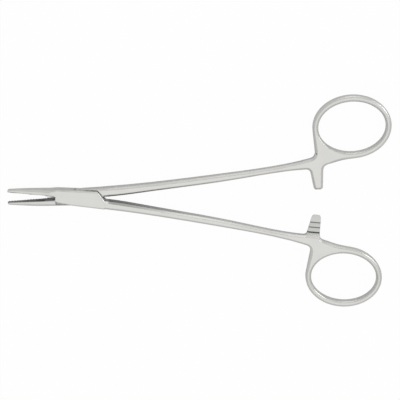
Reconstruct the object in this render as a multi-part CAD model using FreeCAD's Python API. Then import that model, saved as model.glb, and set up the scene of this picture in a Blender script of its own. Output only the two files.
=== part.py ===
# A box-lock surgical needle holder with finger rings and a ratchet, lying open on its side.
# Millimetres. X runs from the jaws to the finger rings, Y across the handles, Z up.
# The origin is on the pivot axis, on the underside of the box lock.
#
# The instrument is three pieces: the box half, whose cheeks make the box, the tongue half, which
# passes through it, and the pivot pin that is riveted through both. The two halves share one blank.
# It is drawn closed, with its jaw below the X axis and its handle above. The tongue half is that
# blank, and the box half is the same blank turned over about X. Both are then opened to the rest pose.
import FreeCAD
import Part
import math
import os

V = FreeCAD.Vector
CENTRE = V(0, 0, 0)
X_AXIS = V(1, 0, 0)
Y_AXIS = V(0, 1, 0)
Z_AXIS = V(0, 0, 1)

# Pose of the open instrument, in degrees
opening_at_rest = 7.9
jaw_line_tilt = 0.35
handle_set = 1.75
opening_full = 45.0

# Box lock
box_thickness = 5.6
box_half_width = 3.55
box_jaw_end = -8.8
box_shank_end = 10.7
box_top_at_jaw = 3.6
box_shoulder = (7.7, 3.0)
box_shank_inner = -0.5
cheek_low_corner = 2.2
cheek_low_middle = (-3.5, 2.95)
cheek_low_end = 0.5
box_shoulder_round = 1.2
box_edge_round = 0.8
tongue_thickness = 2.0
tongue_face_play = 0.04
shoulder_gap = 0.1
stop_margin = 1.0

# Pivot pin
pin_radius = 1.5
pin_head_radius = 1.85
pin_head_depth = 0.4
pin_play = 0.03

# Jaws
jaw_length = 28.0
jaw_tip_width = 1.65
jaw_tip_thickness = 2.0
jaw_middle = (-16.0, 2.95)
jaw_heel_thickness = 5.0
jaw_flat_share = 0.55
jaw_tip_round = 0.6
jaw_face_gap = 0.05
jaw_face_relief = 0.15
jaw_heel = -13.4
heel_notch_width = 0.7
heel_notch_depth = 0.4

# Cross-cut teeth on the jaw faces
tooth_pitch = 0.8
tooth_depth = 0.2
tooth_tool_lift = 0.02
tooth_lean = 45.0

# Handle outline, with the handles closed: half spans from the centre line at stations along X
inner_edge_start = 9.0
inner_edge = [(28.0, 1.3), (60.0, 4.1), (86.0, 6.85)]
outer_edge = [(86.0, 10.4), (60.0, 7.15), (30.0, 4.7), (12.0, 3.75)]
handle_thickness_at_box = 5.3
handle_thickness_at_end = 3.4
handle_edge_bevel = 0.85

# Finger ring
ring_centre = (108.2, 23.3)
ring_hole_semi = (12.95, 9.8)
ring_wire = 2.8
ring_wire_side = 3.2
ring_neck_angle = 185.0
ring_base_angle = 276.0
neck_corner = (93.85, 12.2)
neck_round = 2.4
base_point = (101.0, 9.4)

# Ratchet arm
arm_left_root = (91.3, 7.0)
arm_right_root = (96.7, 8.3)
arm_tip_reach = 1.5
arm_tip_left = 92.9
arm_tip_right = 96.3
arm_left_round = 1.5
arm_right_round = 2.5
arm_corner_round = 1.1
ratchet_teeth = 3
ratchet_pitch = 1.9
ratchet_first_crest = 2.7
ratchet_crest = 0.2
ratchet_root = 0.45
ratchet_nose = 0.6
ratchet_face_lean = 0.1
ratchet_step_margin = 0.6
ratchet_step_overrun = 0.5

arm_tip_corners = [(arm_tip_left, -arm_tip_reach), (arm_tip_right, -arm_tip_reach)]
ring_outer_semi = (ring_hole_semi[0] + ring_wire, ring_hole_semi[1] + ring_wire_side)
handle_end = ring_centre[0] + ring_outer_semi[0]
high = 4 * box_thickness
beyond = 1.0
near = 0.01
mostly_upward = 0.9


def turned(shape, degrees, axis=Z_AXIS):
    copy = shape.copy()
    copy.rotate(CENTRE, axis, degrees)
    return copy


def prism(edges, bottom, top):
    face = Part.Face(Part.Wire(edges))
    face.translate(V(0, 0, bottom))
    return face.extrude(V(0, 0, top - bottom))


def polyline(points):
    return Part.makePolygon([V(x, y, 0) for x, y in points]).Edges


def polygon(points):
    return polyline(points + points[:1])


def line(start, end):
    return polyline([start, end])[0]


def direction(start, end):
    return V(end[0] - start[0], end[1] - start[1], 0).normalize()


def spline_edge(points, start=None, end=None):
    curve = Part.BSplineCurve()
    places = [V(x, y, 0) for x, y in points]
    if start is None:
        curve.interpolate(places)
    else:
        curve.interpolate(Points=places, InitialTangent=start, FinalTangent=end)
    return curve.toShape()


def upright_edges_at(shape, x, y):
    found = []
    for edge in shape.Edges:
        first = edge.Vertexes[0].Point
        last = edge.Vertexes[-1].Point
        upright = math.hypot(first.x - last.x, first.y - last.y) < near
        here = math.hypot(first.x - x, first.y - y) < near
        if upright and here and abs(first.z - last.z) > near:
            found.append(edge)
    return found


def ring_point(semi, degrees):
    angle = math.radians(degrees)
    return (ring_centre[0] + semi[0] * math.cos(angle), ring_centre[1] + semi[1] * math.sin(angle))


def ring_tangent(semi, degrees):
    angle = math.radians(degrees)
    return V(-semi[0] * math.sin(angle), semi[1] * math.cos(angle), 0).normalize()


def ring_curve(semi):
    return Part.Ellipse(V(ring_centre[0], ring_centre[1], 0), semi[0], semi[1])


def handle_outline():
    neck = ring_point(ring_outer_semi, ring_neck_angle)
    base = ring_point(ring_outer_semi, ring_base_angle)
    inner_start = (inner_edge_start, jaw_face_gap)
    parting = line((0, jaw_face_gap), inner_start)
    inner_end = direction(inner_edge[-1], arm_left_root)
    inner = spline_edge([inner_start] + inner_edge + [arm_left_root], X_AXIS, inner_end)
    arm = polyline([arm_left_root, *arm_tip_corners, arm_right_root])
    base_start = direction(arm_right_root, base_point)
    base_end = ring_tangent(ring_outer_semi, ring_base_angle)
    under_ring = spline_edge([arm_right_root, base_point, base], base_start, base_end)
    first = math.radians(ring_base_angle - 360)
    last = math.radians(ring_neck_angle)
    around = Part.ArcOfEllipse(ring_curve(ring_outer_semi), first, last).toShape()
    outer = spline_edge([neck_corner] + outer_edge + [(0, box_half_width)])
    root = line((0, box_half_width), (0, jaw_face_gap))
    return [parting, inner, *arm, under_ring, around, line(neck, neck_corner), outer, root]


def handle_wedge():
    box_end = handle_thickness_at_box / 2
    ring_end = handle_thickness_at_end / 2
    corners = [V(0, 0, -box_end), V(handle_end, 0, -ring_end), V(handle_end, 0, ring_end), V(0, 0, box_end)]
    side = Part.Face(Part.makePolygon(corners + corners[:1]))
    side.translate(V(0, -high, 0))
    return side.extrude(V(0, high + handle_end, 0))


def handle_blank():
    body = prism(handle_outline(), -high, high)
    rounds = [(arm_left_root, arm_left_round), (arm_right_root, arm_right_round), (neck_corner, neck_round)]
    rounds += [(corner, arm_corner_round) for corner in arm_tip_corners]
    for place, radius in rounds:
        body = body.makeFillet(radius, upright_edges_at(body, *place))
    hole = prism([ring_curve(ring_hole_semi).toShape()], -high, high)
    body = body.cut(hole).common(handle_wedge())
    rim = []
    for face in body.Faces:
        if abs(face.normalAt(0, 0).z) > mostly_upward:
            rim += [edge for edge in face.Edges if edge.CenterOfMass.x > near]
    return body.makeChamfer(handle_edge_bevel, rim)


def handle_thickness(x):
    return handle_thickness_at_box + (handle_thickness_at_end - handle_thickness_at_box) * x / handle_end


def ratchet_profile(half):
    # Runs from the tip of the arm towards the ring: a nose that rises to the first crest, then saw teeth.
    tip = -arm_tip_reach
    points = [(tip - beyond, ratchet_nose), (tip, ratchet_nose)]
    crest = tip + ratchet_first_crest
    for tooth in range(ratchet_teeth):
        points.append((crest, -ratchet_crest))
        points.append((crest + ratchet_face_lean, ratchet_root))
        crest += ratchet_pitch
    step = crest - ratchet_pitch + ratchet_step_margin
    low = -half - ratchet_step_overrun
    points += [(step, ratchet_root), (step + ratchet_root + half, low), (tip - beyond, low)]
    return points


def with_ratchet(handle):
    # The arm is left at half thickness, with its teeth towards the other arm.
    half = handle_thickness(arm_tip_left) / 2
    reach = arm_tip_right - arm_tip_left
    corners = [V(arm_tip_left - reach, y, z) for y, z in ratchet_profile(half)]
    side = Part.Face(Part.makePolygon(corners + corners[:1]))
    return handle.cut(side.extrude(V(3 * reach, 0, 0)))


def jaw_width(x):
    # A gentle curve through the tip, the middle and the box.
    spots = [(-jaw_length, jaw_tip_width), jaw_middle, (0, box_half_width)]
    total = 0
    for here in spots:
        weight = here[1]
        for other in spots:
            if other is not here:
                weight *= (x - other[0]) / (here[0] - other[0])
        total += weight
    return total


def jaw_section(x):
    width = jaw_width(x)
    share = min(1, (x + jaw_length) / (box_jaw_end + jaw_length))
    half = (jaw_tip_thickness + share * (jaw_heel_thickness - jaw_tip_thickness)) / 2
    flat = jaw_flat_share * width
    outside = Part.Arc(V(x, -flat, half), V(x, -width, 0), V(x, -flat, -half)).toShape()
    under = Part.makeLine(V(x, -flat, -half), V(x, 0, -half))
    face = Part.makeLine(V(x, 0, -half), V(x, 0, half))
    over = Part.makeLine(V(x, 0, half), V(x, -flat, half))
    return Part.Wire([outside, under, face, over])


def jaw_blank():
    front = Part.makeLoft([jaw_section(x) for x in (-jaw_length, jaw_middle[0], box_jaw_end)], True)
    back = Part.makeLoft([jaw_section(x) for x in (box_jaw_end, 0)], True)
    at_tip = [edge for edge in front.Edges if edge.BoundBox.XMax < -jaw_length + near]
    outer_rim = [edge for edge in at_tip if edge.CenterOfMass.y < -near]
    return front.makeFillet(jaw_tip_round, outer_rim).fuse(back)


def jaw_face_tool():
    # Relieves the gripping face towards its heel, so that the tips meet first.
    gap = jaw_face_gap
    outline = [(-jaw_length - beyond, beyond), (-jaw_length - beyond, -gap), (-jaw_length, -gap)]
    outline.append((jaw_heel, -jaw_face_relief))
    outline.append((jaw_heel + heel_notch_width / 2, -heel_notch_depth))
    outline += [(jaw_heel + heel_notch_width, -gap), (beyond, -gap), (beyond, beyond)]
    return prism(polygon(outline), -high, high)


def jaw_teeth_tool():
    # Two sets of crossing V grooves, leaning both ways over the gripping face.
    length = jaw_length + jaw_heel
    half = tooth_pitch / 2 * (1 + tooth_tool_lift / tooth_depth)
    corners = [V(0, -tooth_depth, 0), V(half, tooth_tool_lift, 0), V(-half, tooth_tool_lift, 0)]
    groove = Part.Face(Part.makePolygon(corners + corners[:1])).extrude(V(0, 0, 2 * length))
    groove.translate(V(0, 0, -length))
    step = tooth_pitch / math.cos(math.radians(tooth_lean))
    reach = jaw_heel_thickness / 2
    first = -jaw_length - reach
    corner = V(-jaw_length - beyond, -beyond / 2, -high / 2)
    window = Part.makeBox(length + beyond, beyond, high, corner)
    grooves = []
    for lean in (tooth_lean, -tooth_lean):
        tilted = turned(groove, lean, Y_AXIS)
        for number in range(int((length + 2 * reach) / step) + 1):
            copy = tilted.copy()
            copy.translate(V(first + number * step, 0, 0))
            grooves.append(copy.common(window))
    slope = math.degrees(math.atan2(jaw_face_relief - jaw_face_gap, length))
    tool = Part.makeCompound(grooves)
    tool.translate(V(jaw_length, 0, 0))
    tool = turned(tool, -slope)
    tool.translate(V(-jaw_length, -jaw_face_gap, 0))
    return tool


def blank(set_angle):
    jaw = jaw_blank().cut(jaw_face_tool()).cut(jaw_teeth_tool())
    handle = turned(with_ratchet(handle_blank()), set_angle)
    return jaw, handle


def outer_span(x):
    # Half span of the closed handles' outer edge between the box and the first station.
    station, span = outer_edge[-1]
    return box_half_width + (span - box_half_width) * x / station


def cheek_outline(grow=0.0):
    # The box seen from above, closed: its low edge, its shank end, the slanted shoulder, its top side
    # and its jaw end.
    shank_corner = turned(Part.Vertex(box_shank_end, -outer_span(box_shank_end), 0), -handle_set).Point
    low_start = (box_jaw_end, -cheek_low_corner)
    low_middle = V(cheek_low_middle[0], -cheek_low_middle[1], 0)
    low_end = (cheek_low_end, -box_half_width)
    low_edge = Part.Arc(V(*low_start, 0), low_middle, V(*low_end, 0)).toShape()
    corners = [low_end, (shank_corner.x, shank_corner.y), (box_shank_end, box_shank_inner)]
    corners += [box_shoulder, (box_jaw_end, box_top_at_jaw), low_start]
    face = Part.Face(Part.Wire([low_edge, *polyline(corners)]))
    if grow:
        face = face.makeOffset2D(grow, join=2)
    return face


def box_slab():
    half = box_thickness / 2
    face = cheek_outline()
    face.translate(V(0, 0, -half))
    slab = face.extrude(V(0, 0, box_thickness))
    slab = slab.makeFillet(box_shoulder_round, upright_edges_at(slab, *box_shoulder))
    rounded = []
    for edge in slab.Edges:
        middle = edge.valueAt((edge.FirstParameter + edge.LastParameter) / 2)
        on_face = abs(middle.z) > half - near
        at_shank_end = abs(middle.x - box_shank_end) < near
        top_side = edge.BoundBox.XLength > box_shank_end and middle.y > 0
        low_side = middle.y < -box_half_width
        if on_face and not at_shank_end and (top_side or low_side):
            rounded.append(edge)
    return slab.makeFillet(box_edge_round, rounded)


def slot_tool():
    reach = 3 * jaw_length
    clear = box_half_width + shoulder_gap
    tangent = math.radians(90 + opening_full + stop_margin)
    touch = V(clear * math.cos(tangent), clear * math.sin(tangent), 0)
    far = touch + V(math.sin(tangent), -math.cos(tangent), 0) * reach
    along = turned(Part.Vertex(reach, 0, 0), -handle_set).Point
    gap = jaw_face_gap
    shank_side = [(0, 0), (along.x, along.y), (far.x, far.y), (touch.x, touch.y)]
    jaw_side = [(0, gap), (-reach, gap), (-far.x, -far.y), (-touch.x, -touch.y)]
    half = tongue_thickness / 2 + tongue_face_play
    hub = Part.makeCylinder(clear, 2 * half, V(0, 0, -half))
    return hub.fuse([prism(polygon(side), -half, half) for side in (shank_side, jaw_side)])


def recess_tool():
    # What is cut from each face of the tongue half: the cheek closed and wide open, and its sweep.
    outline = cheek_outline(shoulder_gap)
    sweep = math.hypot(box_jaw_end, cheek_low_corner) + shoulder_gap
    half = tongue_thickness / 2
    tools = []
    for bottom in (half, -high):
        depth = high - half
        closed = outline.copy()
        closed.translate(V(0, 0, bottom))
        closed = closed.extrude(V(0, 0, depth))
        wide = turned(closed, -opening_full - stop_margin)
        disc = Part.makeCylinder(sweep, depth, V(0, 0, bottom))
        corner = V(-2 * sweep, -cheek_low_corner, bottom)
        keep = Part.makeBox(2 * sweep, sweep + cheek_low_corner, depth, corner)
        tools += [closed, wide, disc.common(keep)]
    return tools


def pin_shape(radius, head_radius):
    half = box_thickness / 2
    body = Part.makeCylinder(radius, box_thickness, V(0, 0, -half))
    top = Part.makeCone(radius, head_radius, pin_head_depth, V(0, 0, half - pin_head_depth))
    bottom = Part.makeCone(head_radius, radius, pin_head_depth, V(0, 0, -half))
    return body.fuse([top, bottom]).removeSplitter()


def tongue_half():
    jaw, handle = blank(-handle_set)
    hub = Part.makeCylinder(box_half_width, tongue_thickness, V(0, 0, -tongue_thickness / 2))
    body = jaw.fuse([handle, hub])
    body = body.cut(recess_tool())
    bore = Part.makeCylinder(pin_radius + pin_play, box_thickness, V(0, 0, -box_thickness / 2))
    return body.cut(bore)


def box_half():
    jaw, handle = blank(handle_set)
    body = turned(jaw.fuse(handle), 180, X_AXIS)
    body = body.fuse(box_slab())
    return body.cut(slot_tool()).cut(pin_shape(pin_radius, pin_head_radius))


def placed(shape, degrees):
    copy = turned(shape, degrees)
    copy.translate(V(0, 0, box_thickness / 2))
    return copy


def build():
    swing = opening_at_rest / 2
    return {
        "box_half": placed(box_half(), jaw_line_tilt - swing),
        "tongue_half": placed(tongue_half(), jaw_line_tilt + swing),
        "pivot_pin": placed(pin_shape(pin_radius, pin_head_radius), 0),
    }


os.makedirs("parts", exist_ok=True)
for name, shape in build().items():
    solids = shape.Solids
    print(name, len(solids), "solid, valid", shape.isValid(), "volume", round(shape.Volume, 1))
    shape.exportStep("parts/" + name + ".step")
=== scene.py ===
# %% [markdown]
# # A surgical needle holder in satin steel
#
# The instrument is three pieces of stainless steel: two forged halves and the rivet that joins them.
# Their solids come with the packed model. This lesson dresses them. Each half gets a merged copy that
# is refitted by a few tenths of a millimetre and softened along its edges, and all three pieces get a
# brushed satin finish that follows the stroke of the belt along each stretch of the metal.

# %% Load the packed model
import bpy
import bmesh
import math
import numpy as np
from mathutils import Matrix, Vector


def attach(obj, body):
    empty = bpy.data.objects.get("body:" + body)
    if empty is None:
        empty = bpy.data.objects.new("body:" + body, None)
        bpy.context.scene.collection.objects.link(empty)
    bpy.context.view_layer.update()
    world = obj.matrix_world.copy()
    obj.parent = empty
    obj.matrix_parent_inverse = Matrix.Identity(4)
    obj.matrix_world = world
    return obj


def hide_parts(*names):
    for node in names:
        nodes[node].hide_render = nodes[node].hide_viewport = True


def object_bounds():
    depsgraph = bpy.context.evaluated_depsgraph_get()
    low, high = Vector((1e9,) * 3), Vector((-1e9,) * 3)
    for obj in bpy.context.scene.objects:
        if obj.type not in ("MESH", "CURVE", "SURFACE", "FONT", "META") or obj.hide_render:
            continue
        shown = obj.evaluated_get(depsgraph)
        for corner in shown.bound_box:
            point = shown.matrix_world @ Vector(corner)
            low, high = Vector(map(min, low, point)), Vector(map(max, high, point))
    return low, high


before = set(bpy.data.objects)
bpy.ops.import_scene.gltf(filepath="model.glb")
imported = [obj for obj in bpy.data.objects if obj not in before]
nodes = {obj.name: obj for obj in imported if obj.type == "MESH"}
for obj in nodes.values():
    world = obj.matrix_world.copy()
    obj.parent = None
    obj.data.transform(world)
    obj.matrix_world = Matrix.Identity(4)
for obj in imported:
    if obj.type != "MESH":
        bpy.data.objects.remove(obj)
cad_low, cad_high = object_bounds()
print("CAD nodes:", sorted(nodes))

# %% [markdown]
# ## Where each half lies
#
# The origin is on the pivot, under the box lock. X runs to the finger rings and Y across the handles.
# Both halves are drawn closed in the source, and each is then turned a few degrees about the pivot.
# Here a half is measured the same way: `u` runs along the closed instrument, and `v` is the distance
# from its middle line, positive on the side of the half's own handle. All are in millimetres.

# %% Places in the closed instrument
MM = 0.001
MID_HEIGHT = 2.8
SIDE = {"tongue_half": 1, "box_half": -1}
BODY = {"tongue_half": "tongue_side", "box_half": "box_side"}
JAW_TURN = {"tongue_half": 4.3, "box_half": -3.6}
HANDLE_TURN = {"tongue_half": 2.55, "box_half": -5.35}


def rotated(x, y, degrees):
    angle = math.radians(degrees)
    return x * math.cos(angle) - y * math.sin(angle), x * math.sin(angle) + y * math.cos(angle)


def smooth_step(value, low, high):
    share = min(1.0, max(0.0, (value - low) / (high - low)))
    return share * share * (3 - 2 * share)


def from_table(station, rows):
    """A value read from rows of (station, value), straight between them."""
    stations, values = zip(*rows)
    return float(np.interp(station, stations, values))


print("a point 100 mm along the closed box half lies at", rotated(100, 0, HANDLE_TURN["box_half"]))

# %% [markdown]
# ## Refitting the copies
#
# A hand-finished forging is never quite the drawn shape: the belt takes a little more off the rings,
# the shanks and the flanks of the box, and it runs the jaw into the box without a step. The tables
# below hold that difference. One could sculpt the copies by hand instead, but a table can be read,
# changed and run again. Each row starts with a place along the half. `EDGE` rows then say where an edge
# of the drawn part lies, `SHIFT` rows how far the belt moves it, and `SHARE` rows what the width or the
# thickness is multiplied by. `ARM_PLACES` pairs a place across the ratchet arm with its new place, and
# `LINE_TURN` says how many degrees the jaws and the handles turn about the pivot. Points between two
# edges move in proportion, so faces stay smooth.

# %% Tables for the handles, in millimetres
OUTER_EDGE = [
    (-8.8, 2.2), (-3.5, 2.95), (0.5, 3.55), (12, 3.75), (30, 4.7), (60, 7.15), (86, 10.4), (94, 12.2),
]
OUTER_SHIFT = [(-8.8, -0.35), (-3.5, -0.15), (0.5, -0.3), (12, -0.17), (60, -0.2), (86, -0.3), (94, -0.4)]
INNER_EDGE = [(9, 0.05), (28, 1.3), (60, 4.1), (86, 6.85), (93, 7.4)]
INNER_SHIFT = [(28, 0.0), (60, 0.17), (86, 0.25), (100, 0.3)]
RING_CENTRE = (108.2, 23.3)
RING_HOLE = (12.95, 9.8)
RING_OUTSIDE = (15.75, 13.0)
RING_HOLE_NEW = (13.15, 9.93)
RING_OUTSIDE_NEW = (15.35, 12.53)
RING_SAY_ENDS = 3.0
NECK_START = 88.0
print("the bars of the rings become", round(RING_OUTSIDE_NEW[0] - RING_HOLE_NEW[0], 2), "mm wide")

# %% Tables for the ratchet arm, the jaw and the box
ARM_PLACES = [(-1.5, -1.07), (1.2, 1.6), (3.1, 3.62), (5.0, 5.64), (5.6, 5.95), (7.3, 7.45)]
ARM_TOP = 7.3
ARM_BEGINS = (89.5, 91.5)
JAW_WIDTH_SHARE = [(-28, 0.76), (-18, 0.85), (-8.8, 0.852), (0, 0.915)]
JAW_HEIGHT_SHARE = [(-28, 1.0), (-18, 1.083), (-8.8, 1.12)]
BOX_TOP_SHARE = [(-8.8, 0.8), (7.7, 1.12)]
BOX_JAW_END = -8.8
END_PLAY = 0.02
# Half the width and half the height of the jaw where it meets the box
JAW_AT_BOX = (3.41, 2.55)
SLOT_HALF_HEIGHT = 1.05
JAW_MIDDLE = -16.0
RAMP_LENGTH = 2.5
RAMP_SIDE = (0.5, 1.3)
print("the tips of the jaws become", JAW_WIDTH_SHARE[0][1], "of their drawn width")


# %% Where a point of a handle goes
def ellipse_reach(semi, angle):
    return 1 / math.hypot(math.cos(angle) / semi[0], math.sin(angle) / semi[1])


def ring_shift(u, v):
    """How far the ring moves a point, and how much of the ring's say reaches it."""
    across, up = u - RING_CENTRE[0], v - RING_CENTRE[1]
    reach, angle = math.hypot(across, up), math.atan2(up, across)
    hole, outside = ellipse_reach(RING_HOLE, angle), ellipse_reach(RING_OUTSIDE, angle)
    new_hole, new_outside = ellipse_reach(RING_HOLE_NEW, angle), ellipse_reach(RING_OUTSIDE_NEW, angle)
    outward = from_table(reach, [(hole, new_hole - hole), (outside, new_outside - outside)])
    say = 1 - smooth_step(reach - outside, 0, RING_SAY_ENDS)
    return outward * math.cos(angle), outward * math.sin(angle), say


def handle_refit(u, v):
    inner, outer = from_table(u, INNER_EDGE), from_table(u, OUTER_EDGE)
    share = min(1.0, max(0.0, (v - inner) / (outer - inner)))
    near_inner = from_table(u, INNER_SHIFT)
    if u > NECK_START and v < ARM_TOP:
        on_arm = smooth_step(u, *ARM_BEGINS)
        near_inner += on_arm * (from_table(v, ARM_PLACES) - v - near_inner)
    shift = near_inner + share * (from_table(u, OUTER_SHIFT) - near_inner)
    if u < NECK_START:
        return u, v + shift
    along, outward, say = ring_shift(u, v)
    return u + say * along, v + shift + say * (outward - shift)


print("the crown of the ring moves to", [round(value, 2) for value in handle_refit(108.2, 36.3)])


# %% Where a point of a jaw or of the box goes
def jaw_refit(node, u, v, height):
    """height is measured from the middle plane. The box half's jaw runs up to the box in a ramp."""
    widest, highest = JAW_AT_BOX
    at_end = abs(u - BOX_JAW_END) <= END_PLAY
    on_jaw = u < BOX_JAW_END - END_PLAY or (at_end and abs(height) < highest and abs(v) < widest)
    if node == "box_half" and not on_jaw:
        return u, v * from_table(u, BOX_TOP_SHARE), height
    width = from_table(u, JAW_WIDTH_SHARE)
    if on_jaw and abs(height) > SLOT_HALF_HEIGHT:
        height = min(MID_HEIGHT, max(-MID_HEIGHT, height * from_table(u, JAW_HEIGHT_SHARE)))
    if node == "box_half" and u > JAW_MIDDLE:
        ramp = smooth_step(-v, *RAMP_SIDE) * RAMP_LENGTH / (BOX_JAW_END - JAW_MIDDLE)
        u -= ramp * (u - JAW_MIDDLE)
    return u, v * width, height


print("the corner of the jaw at the box moves to", jaw_refit("box_half", BOX_JAW_END, -3.0, 2.5))

# %% Where any point of a half goes
LINE_TURN = [(0, -0.61), (14, 0.14)]
PIN_SURROUND = (2.0, 3.0)
HANDLE_START = 12.0
PARTING = 0.3


def refitted(node, place):
    """Jaws and handles follow their own tables, and what is close to the pin stays where it is."""
    side = SIDE[node]
    x, y = place.x / MM, place.y / MM
    height = place.z / MM - MID_HEIGHT
    u, v = rotated(x, y, -JAW_TURN[node])
    v *= side
    from_pin = smooth_step(math.hypot(u, v), *PIN_SURROUND)
    if u > HANDLE_START:
        u, v = rotated(x, y, -HANDLE_TURN[node])
        new_u, new_v = handle_refit(u, v * side)
        x, y = rotated(new_u, new_v * side, HANDLE_TURN[node])
    else:
        if v > PARTING and u > BOX_JAW_END - END_PLAY:
            new_u, new_v = handle_refit(u, v)
        else:
            new_u, new_v, height = jaw_refit(node, u, v, height)
        u, v = u + from_pin * (new_u - u), v + from_pin * (new_v - v)
        x, y = rotated(u, v * side, JAW_TURN[node])
    x, y = rotated(x, y, from_pin * from_table(x, LINE_TURN))
    return Vector((x, y, height + MID_HEIGHT)) * MM


print("the tip of the lower jaw moves to", refitted("tongue_half", Vector((-0.0279, -0.0021, 0.0028))))

# %% [markdown]
# ## Soft edges
#
# The drawn edges are sharp, and a sharp edge catches no light. The belt leaves a tiny round on each,
# which shows as a bright line, widest on the slanted end of the cheek. A Bevel modifier makes it: each
# sharp edge carries a weight for the width of its own round, and the new faces take the second
# material, a smoother one with a lighter colour, which is a painted highlight. Edges inside the lock
# and between the teeth stay as they are, because no belt gets there. They are picked by zones, each a
# span of `u`, of `v` and of the distance from the middle plane.

# %% Which edges are rounded, and how far
SHARP_ANGLE = math.radians(28)
WIDEST_ROUND = 0.42
PLAIN_ROUND = 0.16
RING_ROUND = 0.36
RING_ROUND_GROWS = {"u": (100, 106), "v": (14, 20)}
PIN_EDGES = 2.5
FAR = math.inf
ANY = (-FAR, FAR)
SHARP_ZONES = {
    "inside the lock": ((-11.5, 11.5), ANY, (-FAR, 1.2)),
    "teeth of the jaw": ((-FAR, BOX_JAW_END + 0.1), (-0.45, FAR), ANY),
    "teeth of the ratchet": ((88, 99), (-FAR, 9), (-FAR, 1.2)),
    "jaw end of the box": ((BOX_JAW_END - 0.3, BOX_JAW_END + 0.3), ANY, ANY),
    "step behind the box": ((10, 12), (PARTING, FAR), ANY),
}
TONGUE_ZONE = ((-13, 13), ANY, ANY)
SLANT_ZONE = ((7, 11), (-FAR, 0.8), ANY)


def in_zone(place, zone):
    return all(low < value < high for value, (low, high) in zip(place, zone))


def edge_round(node, edge):
    middle = (edge.verts[0].co + edge.verts[1].co) / 2
    u, v = rotated(middle.x / MM, middle.y / MM, -JAW_TURN[node])
    v *= SIDE[node]
    place = (u, v, abs(middle.z / MM - MID_HEIGHT))
    if any(in_zone(place, zone) for zone in SHARP_ZONES.values()) or math.hypot(u, v) < PIN_EDGES:
        return 0.0
    if node == "tongue_half" and in_zone(place, TONGUE_ZONE):
        return 0.0
    if node == "box_half" and in_zone(place, SLANT_ZONE):
        return WIDEST_ROUND
    on_ring = max(smooth_step(u, *RING_ROUND_GROWS["u"]), smooth_step(v, *RING_ROUND_GROWS["v"]))
    return PLAIN_ROUND + on_ring * (RING_ROUND - PLAIN_ROUND)


print("edges stay sharp in", len(SHARP_ZONES), "zones:", ", ".join(SHARP_ZONES))

# %% Merge and refit a half
MERGE_DISTANCE = 1e-6
FLAT_ANGLE = math.radians(0.4)


def merged_copy(node):
    """The drawn half in one skin, with its sharp edges marked and weighted."""
    mesh = bmesh.new()
    mesh.from_mesh(nodes[node].data)
    bmesh.ops.remove_doubles(mesh, verts=mesh.verts, dist=MERGE_DISTANCE)
    for vertex in mesh.verts:
        vertex.co = refitted(node, vertex.co)
    bmesh.ops.dissolve_limit(mesh, angle_limit=FLAT_ANGLE, verts=mesh.verts, edges=mesh.edges)
    weights = mesh.edges.layers.float.new("bevel_weight_edge")
    rounded = 0
    for edge in mesh.edges:
        sharp = len(edge.link_faces) != 2 or edge.calc_face_angle(0) > SHARP_ANGLE
        edge.smooth = not sharp
        if sharp and len(edge.link_faces) == 2:
            edge[weights] = edge_round(node, edge) / WIDEST_ROUND
            rounded += edge[weights] > 0
    for face in mesh.faces:
        face.smooth = True
    data = bpy.data.meshes.new(node + "_finished")
    mesh.to_mesh(data)
    mesh.free()
    print(node, "has", rounded, "edges to soften")
    return data


skins = {node: merged_copy(node) for node in SIDE}

# %% Soften a half
ROUND_SEGMENTS = 3
NORMAL_WEIGHT = 60


def softened(node, data):
    piece = bpy.data.objects.new(node + "_finished", data)
    bpy.context.scene.collection.objects.link(piece)
    soften = piece.modifiers.new("soft_edges", "BEVEL")
    soften.limit_method = "WEIGHT"
    soften.width = WIDEST_ROUND * MM
    soften.segments = ROUND_SEGMENTS
    soften.use_clamp_overlap = False
    soften.material = 1
    steady = piece.modifiers.new("steady_normals", "WEIGHTED_NORMAL")
    steady.keep_sharp = True
    steady.weight = NORMAL_WEIGHT
    return piece


def settled(piece):
    """Turns the modifiers into plain mesh, and lays corners that stand proud back on the flat faces."""
    graph = bpy.context.evaluated_depsgraph_get()
    data = bpy.data.meshes.new_from_object(piece.evaluated_get(graph))
    piece.modifiers.clear()
    piece.data = data
    proud = 0
    for vertex in data.vertices:
        flat = min(cad_high[2], max(cad_low[2], vertex.co.z))
        proud += flat != vertex.co.z
        vertex.co.z = flat
    print(piece.name, "has", len(data.polygons), "faces and had", proud, "proud corners")
    return piece


halves = {node: settled(softened(node, data)) for node, data in skins.items()}

# %% [markdown]
# ## Writing shader maths as plain expressions
#
# Node trees grow hard to read when each sum needs its own line of links. The small class below wraps
# one output socket, so that `a * b + 1` adds the Math nodes by itself, and its `node` method adds any
# other node, with its settings first and then the values or links of its sockets.

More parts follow.
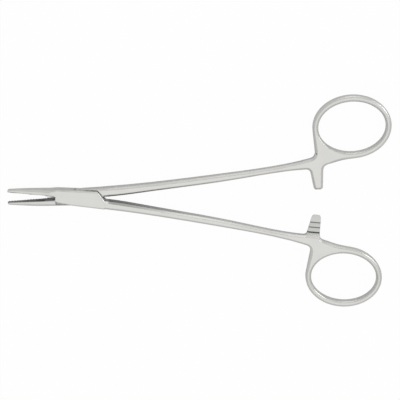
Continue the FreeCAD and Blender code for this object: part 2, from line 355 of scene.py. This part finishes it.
# %% The wrapper for sockets
class Socket:
    def __init__(self, tree, output):
        self.tree = tree
        self.output = output

    def node(self, kind, settings=None, inputs=None, out=0):
        made = self.tree.nodes.new(kind)
        for key, value in (settings or {}).items():
            setattr(made, key, value)
        for key, value in (inputs or {}).items():
            if isinstance(value, Socket):
                self.tree.links.new(value.output, made.inputs[key])
            else:
                made.inputs[key].default_value = value
        return Socket(self.tree, made.outputs[out]) if made.outputs else None

    def maths(self, operation, other=0.0, swap=False):
        first, second = (other, self) if swap else (self, other)
        return self.node("ShaderNodeMath", {"operation": operation}, {0: first, 1: second})

    def __add__(self, other):
        return self.maths("ADD", other)

    def __sub__(self, other):
        return self.maths("SUBTRACT", other)

    def __rsub__(self, other):
        return self.maths("SUBTRACT", other, swap=True)

    def __mul__(self, other):
        return self.maths("MULTIPLY", other)

    def __truediv__(self, other):
        return self.maths("DIVIDE", other)

    __radd__ = __add__
    __rmul__ = __mul__

    def axis(self, number):
        return self.node("ShaderNodeSeparateXYZ", None, {0: self}, number)

    def ramp(self, low, high):
        """0 below low, 1 above high, smooth between."""
        settings = {"interpolation_type": "SMOOTHSTEP"}
        return self.node("ShaderNodeMapRange", settings, {"Value": self, "From Min": low, "From Max": high})

    def mixed(self, first, second):
        """The first colour at 0 and the second at 1."""
        return self.node("ShaderNodeMix", {"data_type": "RGBA"}, {"Factor": self, 6: first, 7: second}, 2)


print("a Socket knows", ", ".join(name for name in vars(Socket) if name[0] != "_"))


# %% A new material, and masks in millimetres
def new_material(name):
    """An empty material, and the place of each of its points on the piece, in metres."""
    material = bpy.data.materials.new(name)
    material.use_nodes = True
    tree = material.node_tree
    tree.nodes.clear()
    coordinates = tree.nodes.new("ShaderNodeTexCoord")
    return material, Socket(tree, coordinates.outputs["Object"])


def rises(place, stretch):
    """0 before the stretch and 1 after it, for a place in metres and a stretch in millimetres."""
    return place.ramp(stretch[0] * MM, stretch[1] * MM)


def falls(place, stretch):
    return 1 - rises(place, stretch)


print("masks rise and fall over stretches of", MM, "m")

# %% [markdown]
# ## Satin steel
#
# Instruments of this kind are ground, brushed on a belt and then matted, so that they don't dazzle
# under a theatre lamp. The metal is a pale warm grey with a broad soft gloss. The brush leaves hairlines
# along the shanks and the jaws, and around the rings. A picture of brushed steel would need seams and
# would repeat, so here the hairlines are noise that is stretched a hundred times along the stroke. It
# moves the colour and the roughness a little and lifts a very shallow bump.

# %% Hairlines along the stroke
HAIRLINES_PER_METRE = 7000
STROKE_STRETCH = 0.01
HAIR_NOISE = {"Scale": 1.0, "Detail": 3.0, "Roughness": 0.6}
SEEDS = {"straight": 3.0, "ring": 8.0}


def hairlines(place, seed):
    """Long thin noise: place is the position in metres, with X along the stroke."""
    scale = HAIRLINES_PER_METRE
    stretch = {0: place, 1: (scale * STROKE_STRETCH, scale, scale)}
    stretched = place.node("ShaderNodeVectorMath", {"operation": "MULTIPLY"}, stretch)
    inputs = {"Vector": stretched, "W": seed, **HAIR_NOISE}
    return stretched.node("ShaderNodeTexNoise", {"noise_dimensions": "4D"}, inputs)


def turned_place(place, degrees):
    """The same place with X along a line that lies at this many degrees."""
    inputs = {"Vector": place, "Rotation": (0, 0, math.radians(-degrees))}
    return place.node("ShaderNodeMapping", {"vector_type": "POINT"}, inputs)


print("a hairline is about", round(1 / MM / HAIRLINES_PER_METRE, 2), "mm wide")

# %% Hairlines around a ring
RING_STROKE_ENDS = (1.35, 1.6)
RING_STROKE_BEGINS = (94, 99)


def ring_stroke(along, side):
    """Bends the stroke round the finger ring, and says where the ring is."""
    across = (along.axis(0) - RING_CENTRE[0] * MM) / (RING_HOLE[0] * MM)
    up = (along.axis(1) * side - RING_CENTRE[1] * MM) / (RING_HOLE[1] * MM)
    reach = (across * across + up * up).maths("SQRT")
    mean = 0.5 * (RING_HOLE[0] + RING_HOLE[1]) * MM
    parts = {"X": up.maths("ARCTAN2", across) * mean, "Y": reach * mean, "Z": along.axis(2)}
    bent = along.node("ShaderNodeCombineXYZ", None, parts)
    on_ring = (1 - reach.ramp(*RING_STROKE_ENDS)) * rises(along.axis(0), RING_STROKE_BEGINS)
    return bent, on_ring


print("the stroke bends within", RING_STROKE_ENDS[1], "radii of the hole of a ring")

# %% [markdown]
# ## Painted shade
#
# Three places on the instrument are painted darker to stand in for shade: the roots of the ratchet
# teeth, the cross-cut gripping faces, and the flank of the shank in the narrow crotch behind the box,
# which mirrors the other shank. Each could be a material of its own, but then the metal would end in
# a hard line. So each is a mask from 0 to 1, worked out from the place on the half, and the steel is
# mixed toward a dark grey with it.

# %% Painted shade in the roots of the ratchet teeth
ROOT_PLACES = (1.77, 3.79, 5.72)
ROOT_FADE = (0.1, 0.28)
ARM_SIDES = {"from": (91, 91.5), "to": (97.5, 98)}
ROOT_HEIGHT = (0.9, 1.0)


# Painted shade: a dark line across the ratchet arm at the root of each tooth, where the grooves lie in
# shade
def tooth_root_painted_shade(along, side):
    outward = along.axis(1) * side
    roots = sum(falls((outward - spot * MM).maths("ABSOLUTE"), ROOT_FADE) for spot in ROOT_PLACES)
    on_arm = rises(along.axis(0), ARM_SIDES["from"]) * falls(along.axis(0), ARM_SIDES["to"])
    from_middle = (along.axis(2) - MID_HEIGHT * MM).maths("ABSOLUTE")
    return roots * on_arm * falls(from_middle, ROOT_HEIGHT)


print("tooth roots are dark at", ROOT_PLACES, "mm from the middle line")

# %% Painted shade on the gripping face
FACE_SIDES = {"from": (-0.42, -0.3), "to": (0.1, 0.2)}
FACE_HEEL = (-9.4, -9.2)


# Painted shade: the inner face of the jaw is darkened along its length, where it lies in shade
def gripping_face_painted_shade(place, jaw_turn, side):
    along = turned_place(place, jaw_turn + LINE_TURN[0][1])
    outward = along.axis(1) * side
    in_teeth = rises(outward, FACE_SIDES["from"]) * falls(outward, FACE_SIDES["to"])
    return in_teeth * falls(along.axis(0), FACE_HEEL)


print("gripping faces are dark from the tip to", FACE_HEEL[1], "mm")

# %% Painted shade in the crotch behind the box
CROTCH_START = 9.0
INNER_SLOPE = 0.066
CROTCH_WIDTH = (0.5, 0.9)
CROTCH_BEGINS = (2.6, 3.4)
CROTCH_ENDS = (8, 45)


def crotch_painted_shade(along, side):
    """Painted shade, standing for the other shank mirrored in this bevel: 1 on the inner bevel of the shank
    just behind the box, fading toward the rings.
    """
    behind = along.axis(0) - CROTCH_START * MM
    above_edge = along.axis(1) * side - behind * INNER_SLOPE
    return falls(above_edge, CROTCH_WIDTH) * rises(behind, CROTCH_BEGINS) * falls(behind, CROTCH_ENDS)


print("the crotch is dark from", CROTCH_START + CROTCH_BEGINS[1], "mm and light again at",
      CROTCH_START + CROTCH_ENDS[1], "mm")

# %% [markdown]
# ## Dressing the pieces
#
# One function makes all the steel. The rounded edges get it smoother than the faces, because the belt
# presses hardest there, and a little lighter, which is a painted highlight. Each half needs its own
# materials, since the stroke follows the turn of its own handle. The pin was ground flush together with
# the box half, so it takes the turn of that half. It is small and has no edge that stands out, so it
# keeps its drawn mesh.

# %% The steel of one piece
STEEL_LIGHT = (0.66, 0.655, 0.635, 1)
STEEL_SHADE = (0.50, 0.50, 0.485, 1)
# The dark grey of the painted shade
STEEL_PAINTED_SHADE = (0.16, 0.16, 0.155, 1)
CLOUDS = {"Scale": 160.0, "Detail": 4.0}
SHADE_SWING = {"lines": 0.9, "clouds": 0.5}
ROUGHNESS_SWING = {"lines": 0.22, "clouds": 0.08}
BUMP = {"Strength": 0.12, "Distance": 0.00003}
FACE_PAINTED_SHADE = 0.8
ON_FACES = {"roughness": 0.34, "painted_highlight": 0.0}
# The edges' lift is a painted highlight: their colour is made lighter so the rounded edges look brighter
ON_EDGES = {"roughness": 0.24, "painted_highlight": 0.35}


def satin_steel(name, finish, turn, side=0, jaw_turn=0.0, crotch=0.0):
    """side is 0 for a piece that has no handle, ring or jaw."""
    material, place = new_material(name)
    along = turned_place(place, turn)
    lines = hairlines(along, SEEDS["straight"])
    if side:
        bent, on_ring = ring_stroke(along, side)
        lines = lines + on_ring * (hairlines(bent, SEEDS["ring"]) - lines)
    clouds = place.node("ShaderNodeTexNoise", None, {"Vector": place, **CLOUDS})
    from_mean = {"lines": lines - 0.5, "clouds": clouds - 0.5}
    shade = sum(from_mean[key] * swing for key, swing in SHADE_SWING.items()) + (0.5 + finish["painted_highlight"])
    colour = shade.node("ShaderNodeClamp", None, {"Value": shade}).mixed(STEEL_SHADE, STEEL_LIGHT)
    if side:
        # Painted shade: the tooth roots, the gripping face and the crotch are mixed toward a dark grey
        dark = tooth_root_painted_shade(along, side).maths("MAXIMUM", gripping_face_painted_shade(place, jaw_turn, side) * FACE_PAINTED_SHADE)
        dark = dark.maths("MAXIMUM", crotch_painted_shade(along, side) * crotch)
        colour = dark.mixed(colour, STEEL_PAINTED_SHADE)
    rough = sum(from_mean[key] * swing for key, swing in ROUGHNESS_SWING.items()) + finish["roughness"]
    bump = place.node("ShaderNodeBump", None, {"Height": lines, **BUMP})
    steel = {"Base Color": colour, "Metallic": 1.0, "Roughness": rough, "Normal": bump}
    surface = place.node("ShaderNodeBsdfPrincipled", None, steel)
    surface.node("ShaderNodeOutputMaterial", None, {"Surface": surface})
    return material


print("roughness of the faces and of the edges:", ON_FACES["roughness"], ON_EDGES["roughness"])

# %% Dress the two halves
# How strongly each half takes the painted shade in the crotch behind the box
CROTCH_PAINTED_SHADE = {"tongue_half": 0.1, "box_half": 0.7}

for node, piece in halves.items():
    own = {"turn": HANDLE_TURN[node], "jaw_turn": JAW_TURN[node], "side": SIDE[node]}
    own["crotch"] = CROTCH_PAINTED_SHADE[node]
    piece.data.materials.clear()
    piece.data.materials.append(satin_steel("satin_steel_" + node, ON_FACES, **own))
    piece.data.materials.append(satin_steel("polished_edge_painted_highlight_" + node, ON_EDGES, **own))
    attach(piece, BODY[node])
    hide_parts(node)
    print(piece.name, "wears", [material.name for material in piece.data.materials])

# %% Dress the pin
pin = nodes["pivot_pin"]
pin.data.materials.clear()
pin.data.materials.append(satin_steel("satin_steel_pin", ON_FACES, JAW_TURN["box_half"]))
print("pin:", len(pin.data.polygons), "triangles")

# %% [markdown]
# ## Floor
#
# The photograph is a plain catalogue picture on a white ground. A white floor that is lit like the rest
# would come out grey here and there, and it would also shine into every flank of the steel and wash its
# outlines out. So the floor's material asks what kind of ray has hit it, with a Light Path node. It
# glows nearly white for the camera and much less for the steel's reflections, which gives the flanks
# their thin grey outlines. For all other rays it is plain paper.

# %% Floor
FLOOR_HALF = 0.6
FLOOR_COLOUR = (0.7, 0.7, 0.7, 1)
WHITE_TO_CAMERA = 0.97
WHITE_TO_STEEL = 0.2


def white_floor():
    mesh = bpy.data.meshes.new("floor")
    far = FLOOR_HALF
    corners = [(-far, -far, 0), (far, -far, 0), (far, far, 0), (-far, far, 0)]
    mesh.from_pydata(corners, [], [(0, 1, 2, 3)])
    floor = bpy.data.objects.new("floor", mesh)
    bpy.context.scene.collection.objects.link(floor)
    material, place = new_material("floor_white")
    paper = place.node("ShaderNodeBsdfDiffuse", None, {"Color": FLOOR_COLOUR})
    glow = place.node("ShaderNodeEmission", None, {"Color": (1, 1, 1, 1), "Strength": 1.0})
    path = place.tree.nodes.new("ShaderNodeLightPath")
    to_camera = Socket(place.tree, path.outputs["Is Camera Ray"]) * WHITE_TO_CAMERA
    to_steel = Socket(place.tree, path.outputs["Is Glossy Ray"]) * WHITE_TO_STEEL
    white = to_camera.maths("MAXIMUM", to_steel)
    mix = place.node("ShaderNodeMixShader", None, {0: white, 1: paper, 2: glow})
    mix.node("ShaderNodeOutputMaterial", None, {"Surface": mix})
    mesh.materials.append(material)


white_floor()
print("floor:", 2 * FLOOR_HALF, "m wide")

# %% [markdown]
# ## Light
#
# A satin surface shows the room more than the lamps, so most of the light is a plain white sky, a touch
# brighter at the horizon. Three round lamps do the rest: a wide one above for the flat faces, one
# beyond the rings that draws the bright line on the slanted end of the cheek, and a weak one past the
# upper edge of the picture, for the flanks on that side.

# %% Light
AIM = Vector((47.94, -1.2, MID_HEIGHT)) * MM
SKY_AT_HORIZON = 0.88
SKY_ABOVE = 0.85
SKY_HEIGHT = 0.8
# Each lamp: its place from the middle of the picture in metres, its width in metres and its watts
LAMPS = {
    "box_above": ((0.0, -0.15, 0.75), 0.9, 0.8),
    "window_beside": ((0.62, 0.3, 0.3), 0.3, 0.8),
    "window_behind": ((0.1, 0.75, 0.2), 0.4, 0.4),
}


def round_lamp(name, offset, width, power):
    data = bpy.data.lights.new(name, "AREA")
    data.shape = "DISK"
    data.size = width
    data.energy = power
    lamp = bpy.data.objects.new(name, data)
    lamp.location = AIM + Vector(offset)
    lamp.rotation_euler = (-Vector(offset)).to_track_quat("-Z", "Y").to_euler()
    bpy.context.scene.collection.objects.link(lamp)


def studio_sky():
    """A white room whose walls are a little brighter than its ceiling."""
    world = bpy.data.worlds.new("studio")
    world.use_nodes = True
    tree = world.node_tree
    direction = Socket(tree, tree.nodes.new("ShaderNodeTexCoord").outputs["Generated"])
    strength = direction.axis(2).ramp(0.0, SKY_HEIGHT) * (SKY_ABOVE - SKY_AT_HORIZON) + SKY_AT_HORIZON
    tree.links.new(strength.output, tree.nodes["Background"].inputs["Strength"])
    tree.nodes["Background"].inputs["Color"].default_value = (1, 1, 1, 1)
    bpy.context.scene.world = world


for name, (offset, width, power) in LAMPS.items():
    round_lamp(name, offset, width, power)
studio_sky()
print("light: sky from", SKY_AT_HORIZON, "to", SKY_ABOVE, "and", len(LAMPS), "lamps")

# %% [markdown]
# ## Camera
#
# The camera looks down from far away through a long lens, so the shapes stay almost flat. It leans 15
# degrees off the vertical, towards the upper ring, which is how much of the inner walls the photograph
# shows.

# %% Camera
PICTURE_SIZE = 400
FOCAL_PIXELS = 1192.4
SENSOR_MM = 36.0
CAMERA_TILT = 15.0
CAMERA_DISTANCE = 471 * MM
NEAREST_SEEN = 0.01


def add_camera():
    data = bpy.data.cameras.new("camera")
    data.sensor_width = SENSOR_MM
    data.lens = SENSOR_MM * FOCAL_PIXELS / PICTURE_SIZE
    data.clip_start = NEAREST_SEEN
    camera = bpy.data.objects.new("camera", data)
    tilt = math.radians(CAMERA_TILT)
    camera.location = AIM + Vector((0, math.sin(tilt), math.cos(tilt))) * CAMERA_DISTANCE
    camera.rotation_euler = (-tilt, 0, 0)
    bpy.context.scene.collection.objects.link(camera)
    bpy.context.scene.camera = camera


add_camera()
bpy.context.scene.view_settings.view_transform = "Standard"
print("camera:", round(PICTURE_SIZE * CAMERA_DISTANCE / FOCAL_PIXELS, 4), "m across the picture")
